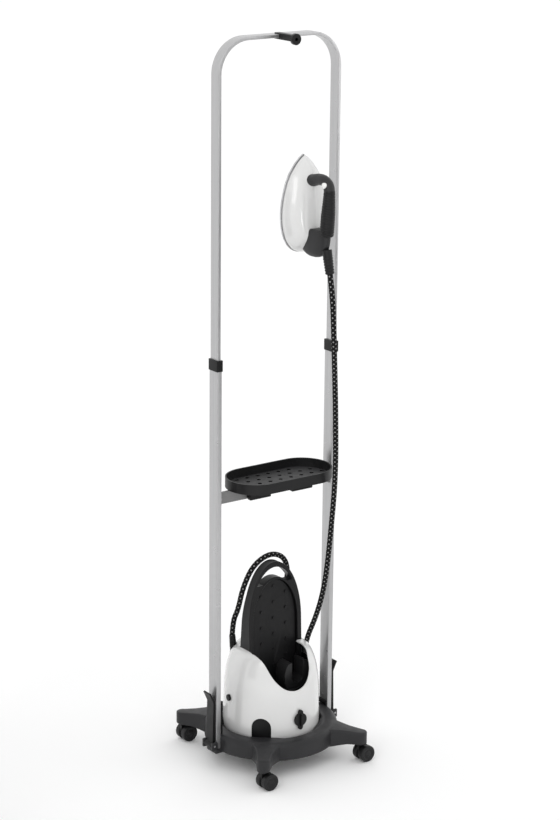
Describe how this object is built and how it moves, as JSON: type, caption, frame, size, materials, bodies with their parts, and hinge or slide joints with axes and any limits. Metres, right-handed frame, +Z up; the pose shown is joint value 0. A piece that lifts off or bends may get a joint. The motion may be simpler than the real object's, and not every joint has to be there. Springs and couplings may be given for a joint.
{
  "type": "garment steamer",
  "caption": "Upright garment steamer: round steam generator with hose and hand iron on a castored rack with an inverted-U hanging frame and oval tray",
  "frame": {"origin": "on the floor under the middle of the base ring, which is the middle of the object's footprint", "axes": "+Z up; -Y towards the user at the front; +X the user's right, along the crossbar"},
  "size_m": [0.38, 0.3856, 1.7568],
  "materials": {
    "charcoal_plastic": "fine satin moulding",
    "castor_tread": "matt",
    "steel": "satin",
    "anodised_aluminium": "satin anodised",
    "grey_bar": "satin grey",
    "black_plastic": "satin",
    "pad_rubber": "matt",
    "white_gloss": "high gloss",
    "white_button": "gloss",
    "boiler_metal": "cast",
    "tank_plastic": "translucent grey",
    "pump_plastic": "matt",
    "board_green": "matt",
    "sole_metal": "polished",
    "hose_braid": "woven textile with a light fleck"
  },
  "bodies": {
    "rack": {"base_ring": "charcoal_plastic", "post_left": "anodised_aluminium", "post_right": "anodised_aluminium", "post_collar_left": "black_plastic", "post_collar_right": "black_plastic", "guard_plate_left": "black_plastic", "guard_plate_right": "black_plastic", "lever_pin_left": "steel", "lever_pin_right": "steel", "crossbar": "grey_bar", "crossbar_screws": "steel"},
    "upper_frame": {"upper_hoop": "anodised_aluminium", "hanger_peg": "black_plastic"},
    "foot_lever_left": {"foot_lever_left": "black_plastic"},
    "foot_lever_right": {"foot_lever_right": "black_plastic"},
    "tray": {"tray": "black_plastic", "tray_clips": "black_plastic"},
    "generator": {"generator_shell": "white_gloss", "front_panel": "black_plastic", "base_pan": "black_plastic", "rubber_feet": "pad_rubber", "inner_liner": "black_plastic", "handle_frame": "black_plastic", "rest_pad": "pad_rubber", "heel_cradle": "black_plastic", "boiler": "boiler_metal", "water_tank": "tank_plastic", "pump": "pump_plastic", "control_board": "board_green", "outlet_boot": "pad_rubber", "mains_inlet": "black_plastic", "steam_hose": "hose_braid"},
    "drain_cap": {"drain_cap": "black_plastic"},
    "side_button": {"side_button": "black_plastic"},
    "iron": {"soleplate": "sole_metal", "heater_block": "boiler_metal", "iron_shell": "white_gloss", "iron_heel": "black_plastic", "iron_handle": "black_plastic", "handle_grip": "pad_rubber", "iron_boot": "pad_rubber"},
    "steam_trigger": {"steam_trigger": "white_button"},
    "caster_fl": {"caster_fork_fl": "charcoal_plastic"},
    "wheels_fl": {"caster_axle_fl": "steel", "caster_wheels_fl": "castor_tread"},
    "caster_fr": {"caster_fork_fr": "charcoal_plastic"},
    "wheels_fr": {"caster_axle_fr": "steel", "caster_wheels_fr": "castor_tread"},
    "caster_rl": {"caster_fork_rl": "charcoal_plastic"},
    "wheels_rl": {"caster_axle_rl": "steel", "caster_wheels_rl": "castor_tread"},
    "caster_rr": {"caster_fork_rr": "charcoal_plastic"},
    "wheels_rr": {"caster_axle_rr": "steel", "caster_wheels_rr": "castor_tread"}
  },
  "joints": [
    {"name": "caster_swivel_fl", "type": "hinge", "parent": "rack", "child": "caster_fl", "pos_m": [-0.144, -0.172, 0.05], "axis": [0, 0, 1], "continuous": true},
    {"name": "wheel_roll_fl", "type": "hinge", "parent": "caster_fl", "child": "wheels_fl", "pos_m": [-0.133, -0.172, 0.0205], "axis": [0, 1, 0], "continuous": true},
    {"name": "caster_swivel_fr", "type": "hinge", "parent": "rack", "child": "caster_fr", "pos_m": [0.144, -0.172, 0.05], "axis": [0, 0, 1], "continuous": true},
    {"name": "wheel_roll_fr", "type": "hinge", "parent": "caster_fr", "child": "wheels_fr", "pos_m": [0.155, -0.172, 0.0205], "axis": [0, 1, 0], "continuous": true},
    {"name": "caster_swivel_rl", "type": "hinge", "parent": "rack", "child": "caster_rl", "pos_m": [-0.144, 0.172, 0.05], "axis": [0, 0, 1], "continuous": true},
    {"name": "wheel_roll_rl", "type": "hinge", "parent": "caster_rl", "child": "wheels_rl", "pos_m": [-0.133, 0.172, 0.0205], "axis": [0, 1, 0], "continuous": true},
    {"name": "caster_swivel_rr", "type": "hinge", "parent": "rack", "child": "caster_rr", "pos_m": [0.144, 0.172, 0.05], "axis": [0, 0, 1], "continuous": true},
    {"name": "wheel_roll_rr", "type": "hinge", "parent": "caster_rr", "child": "wheels_rr", "pos_m": [0.155, 0.172, 0.0205], "axis": [0, 1, 0], "continuous": true},
    {"name": "height_slide", "type": "slide", "parent": "rack", "child": "upper_frame", "axis": [0, 0, 1], "range_m": [-0.22, 0]},
    {"name": "foot_lever_left_hinge", "type": "hinge", "parent": "rack", "child": "foot_lever_left", "pos_m": [-0.1805, 0, 0.063], "axis": [0, -1, 0], "range_deg": [0, 85]},
    {"name": "foot_lever_right_hinge", "type": "hinge", "parent": "rack", "child": "foot_lever_right", "pos_m": [0.1805, 0, 0.063], "axis": [0, 1, 0], "range_deg": [0, 85]},
    {"name": "tray_lift", "type": "slide", "parent": "rack", "child": "tray", "axis": [0, 0, 1], "range_m": [0, 0.05]},
    {"name": "generator_lift", "type": "slide", "parent": "rack", "child": "generator", "axis": [0, 0, 1], "range_m": [0, 0.06]},
    {"name": "iron_pull", "type": "slide", "parent": "generator", "child": "iron", "axis": [0, -1, 0], "range_m": [0, 0.12]},
    {"name": "trigger_press", "type": "slide", "parent": "iron", "child": "steam_trigger", "axis": [1, 0, 0], "range_m": [0, 0.0025], "stiffness_N_per_m": 500, "springref_m": -0.001},
    {"name": "drain_cap_turn", "type": "hinge", "parent": "generator", "child": "drain_cap", "pos_m": [0, -0.12, 0.125], "axis": [0, 1, 0], "range_deg": [0, 90]},
    {"name": "side_button_press", "type": "slide", "parent": "generator", "child": "side_button", "axis": [0.995, -0.0995, 0], "range_m": [0, 0.002], "stiffness_N_per_m": 500, "springref_m": -0.001}
  ]
}
